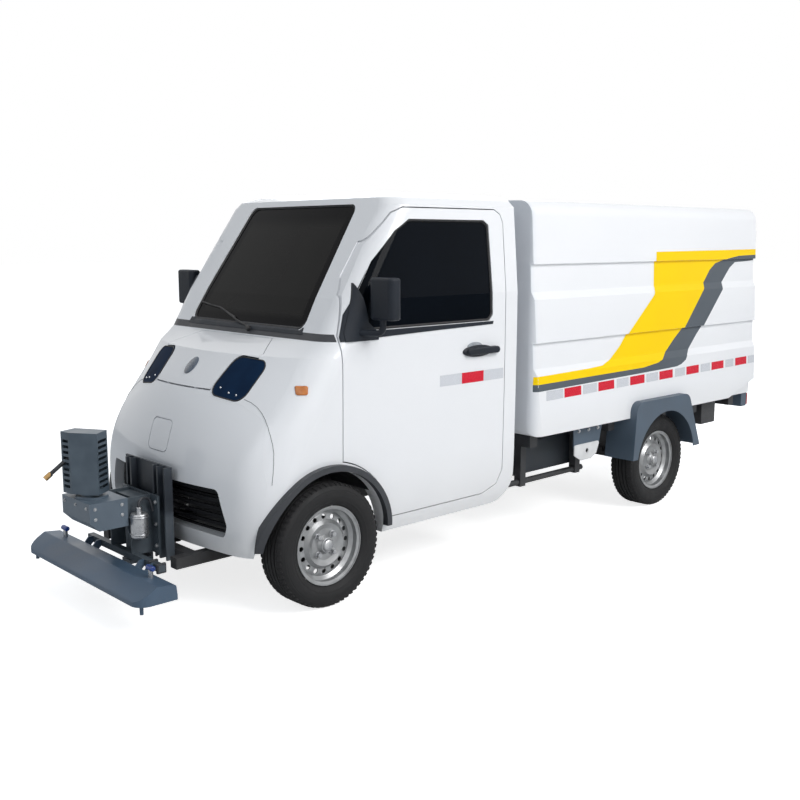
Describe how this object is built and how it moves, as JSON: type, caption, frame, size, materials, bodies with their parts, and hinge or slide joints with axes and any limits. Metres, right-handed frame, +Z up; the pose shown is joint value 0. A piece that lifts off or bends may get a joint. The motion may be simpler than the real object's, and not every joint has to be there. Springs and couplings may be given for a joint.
{
  "type": "pressure washing vehicle",
  "caption": "Small electric service truck with a closed load body and a front washing carriage that has a spray hood and a turning jet tower.",
  "frame": {"origin": "bottom centre of the whole truck's box, on the ground", "axes": "+X to the truck's left, +Y rearwards with the front facing -Y, +Z up"},
  "size_m": [1.75, 4.615, 1.8339],
  "materials": {
    "white_paint": "gloss",
    "black_plastic": "matte",
    "glass": "clear",
    "lamp_clear": "gloss",
    "lamp_red": "gloss",
    "seat_fabric": "matte",
    "black_steel": "satin",
    "blue_grey_paint": "satin",
    "rim_steel": "satin",
    "tyre_rubber": "matte",
    "tank_plastic": "matte",
    "pump_metal": "satin",
    "bare_steel": "satin",
    "attachment_steel": "satin",
    "tower_metal": "satin",
    "brass": "polished"
  },
  "bodies": {
    "chassis": {"frame": "black_steel", "front_suspension": "black_steel", "rear_axle": "black_steel", "leaf_springs": "black_steel", "battery_block": "blue_grey_paint", "side_rail": "black_steel", "side_hanger": "blue_grey_paint", "side_bracket": "white_paint", "rear_fenders": "blue_grey_paint", "rear_beam": "blue_grey_paint", "rear_lamps": "lamp_red", "side_boxes": "black_plastic", "front_frame": "black_steel", "mast": "black_steel", "lift_cylinder": "black_steel", "cab_shell": "white_paint", "cab_roof": "white_paint", "cab_floor": "black_plastic", "cab_bulkhead": "black_plastic", "fascia": "white_paint", "front_grille": "black_plastic", "headlamps": "lamp_clear", "cab_trim": "black_plastic", "windscreen": "glass", "seat_l": "seat_fabric", "seat_r": "seat_fabric", "seat_base": "black_plastic", "dashboard": "black_plastic", "steering_wheel": "black_plastic", "box_shell": "white_paint", "water_tank": "tank_plastic", "pump_block": "pump_metal"},
    "knuckle_l": {"knuckle_l": "black_steel"},
    "knuckle_r": {"knuckle_r": "black_steel"},
    "wheel_front_l": {"rim_front_l": "rim_steel", "tyre_front_l": "tyre_rubber"},
    "wheel_front_r": {"rim_front_r": "rim_steel", "tyre_front_r": "tyre_rubber"},
    "wheel_rear_l": {"rim_rear_l": "rim_steel", "tyre_rear_l": "tyre_rubber"},
    "wheel_rear_r": {"rim_rear_r": "rim_steel", "tyre_rear_r": "tyre_rubber"},
    "cab_door_l": {"door_l": "white_paint", "door_glass_l": "glass", "door_fittings_l": "black_plastic"},
    "cab_door_r": {"door_r": "white_paint", "door_glass_r": "glass", "door_fittings_r": "black_plastic"},
    "rear_door_l": {"rear_door_l": "white_paint"},
    "rear_door_r": {"rear_door_r": "white_paint"},
    "front_lid": {"front_lid": "white_paint"},
    "charge_flap": {"charge_flap": "white_paint"},
    "carriage": {"carriage": "attachment_steel", "canister": "bare_steel", "lift_rod": "bare_steel", "spray_hood": "attachment_steel", "spray_pipe": "bare_steel", "tower_base": "attachment_steel"},
    "tower": {"tower_housing": "tower_metal", "lance": "brass"}
  },
  "joints": [
    {"name": "steer_l", "type": "hinge", "parent": "chassis", "child": "knuckle_l", "pos_m": [0.6, -1.3825, 0.2805], "axis": [0, 0, 1], "range_deg": [-30, 30]},
    {"name": "steer_r", "type": "hinge", "parent": "chassis", "child": "knuckle_r", "pos_m": [-0.6, -1.3825, 0.2805], "axis": [0, 0, 1], "range_deg": [-30, 30]},
    {"name": "spin_front_l", "type": "hinge", "parent": "knuckle_l", "child": "wheel_front_l", "pos_m": [0.6525, -1.3825, 0.2805], "axis": [1, 0, 0], "continuous": true},
    {"name": "spin_front_r", "type": "hinge", "parent": "knuckle_r", "child": "wheel_front_r", "pos_m": [-0.6525, -1.3825, 0.2805], "axis": [1, 0, 0], "continuous": true},
    {"name": "spin_rear_l", "type": "hinge", "parent": "chassis", "child": "wheel_rear_l", "pos_m": [0.6525, 1.1775, 0.2805], "axis": [1, 0, 0], "continuous": true},
    {"name": "spin_rear_r", "type": "hinge", "parent": "chassis", "child": "wheel_rear_r", "pos_m": [-0.6525, 1.1775, 0.2805], "axis": [1, 0, 0], "continuous": true},
    {"name": "cab_door_l_hinge", "type": "hinge", "parent": "chassis", "child": "cab_door_l", "pos_m": [0.708, -1.2905, 0.8], "axis": [0, 0, -1], "range_deg": [0, 65]},
    {"name": "cab_door_r_hinge", "type": "hinge", "parent": "chassis", "child": "cab_door_r", "pos_m": [-0.708, -1.2905, 0.8], "axis": [0, 0, 1], "range_deg": [0, 65]},
    {"name": "rear_door_l_hinge", "type": "hinge", "parent": "chassis", "child": "rear_door_l", "pos_m": [0.7, 2.2905, 1.2], "axis": [0, 0, -1], "range_deg": [0, 170]},
    {"name": "rear_door_r_hinge", "type": "hinge", "parent": "chassis", "child": "rear_door_r", "pos_m": [-0.7, 2.2905, 1.2], "axis": [0, 0, 1], "range_deg": [0, 170]},
    {"name": "front_lid_hinge", "type": "hinge", "parent": "chassis", "child": "front_lid", "pos_m": [0, -1.3525, 1.166], "axis": [-1, 0, 0], "range_deg": [0, 60]},
    {"name": "charge_flap_hinge", "type": "hinge", "parent": "chassis", "child": "charge_flap", "pos_m": [0, -1.7705, 0.803], "axis": [-1, 0, 0], "range_deg": [0, 100]},
    {"name": "carriage_lift", "type": "slide", "parent": "chassis", "child": "carriage", "axis": [0, 0, 1], "range_m": [-0.04, 0.12]},
    {"name": "tower_turn", "type": "hinge", "parent": "carriage", "child": "tower", "pos_m": [0, -2.1325, 0.51], "axis": [0, 0, 1], "range_deg": [-90, 90]}
  ],
  "couplings": [
    {"joint": "steer_r", "follows": "steer_l", "ratio": 1}
  ]
}
